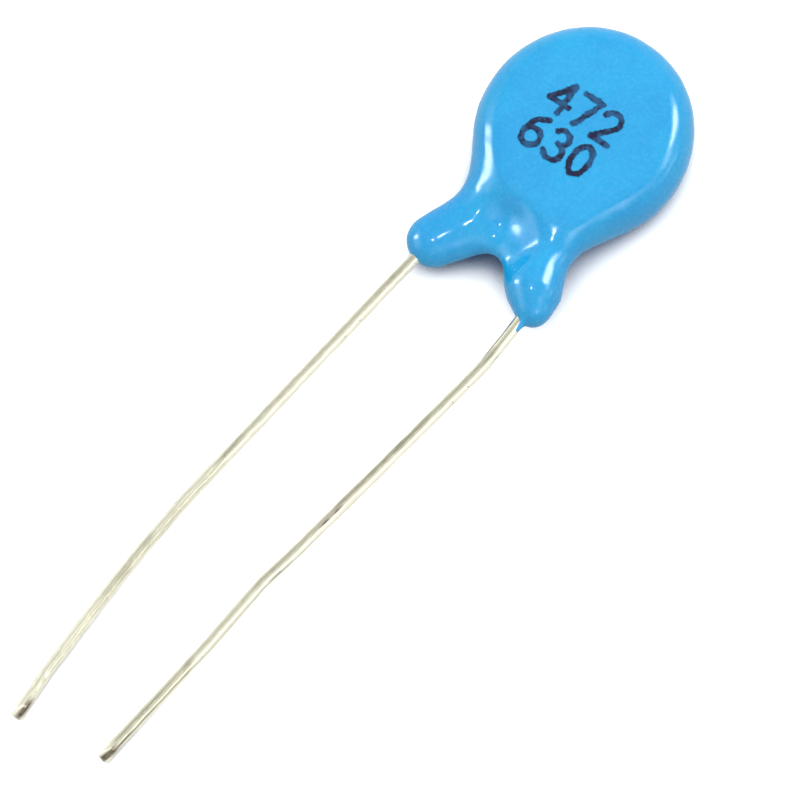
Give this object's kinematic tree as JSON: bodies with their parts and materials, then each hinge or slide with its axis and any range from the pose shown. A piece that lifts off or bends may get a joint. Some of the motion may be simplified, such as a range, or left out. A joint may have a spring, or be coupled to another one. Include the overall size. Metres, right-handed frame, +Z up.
{
  "type": "ceramic disc capacitor",
  "caption": "Ceramic disc capacitor: a silvered ceramic disc dipped in glossy epoxy, with tinned wire leads that are soldered into a circuit board.",
  "frame": {"origin": "middle of the outline, on the surface that the part rests on", "axes": "+Z up out of the front face of the disc, -Y the way the leads run, +X to the right with the leads towards the viewer"},
  "size_m": [0.0118, 0.0478, 0.0037],
  "materials": {
    "epoxy_coat": "glossy dipped epoxy with a fine orange peel",
    "ceramic": "matt fired ceramic",
    "fired_silver": "matt fired silver",
    "solder": "satin solder",
    "tinned_wire": "satin tin plate with handling marks",
    "marking_ink": "stamped ink"
  },
  "bodies": {
    "root": {"coating": "epoxy_coat", "ceramic_disc": "ceramic", "electrode_front": "fired_silver", "electrode_back": "fired_silver", "solder_front": "solder", "solder_back": "solder", "lead_front": "tinned_wire", "lead_back": "tinned_wire"}
  },
  "joints": []
}
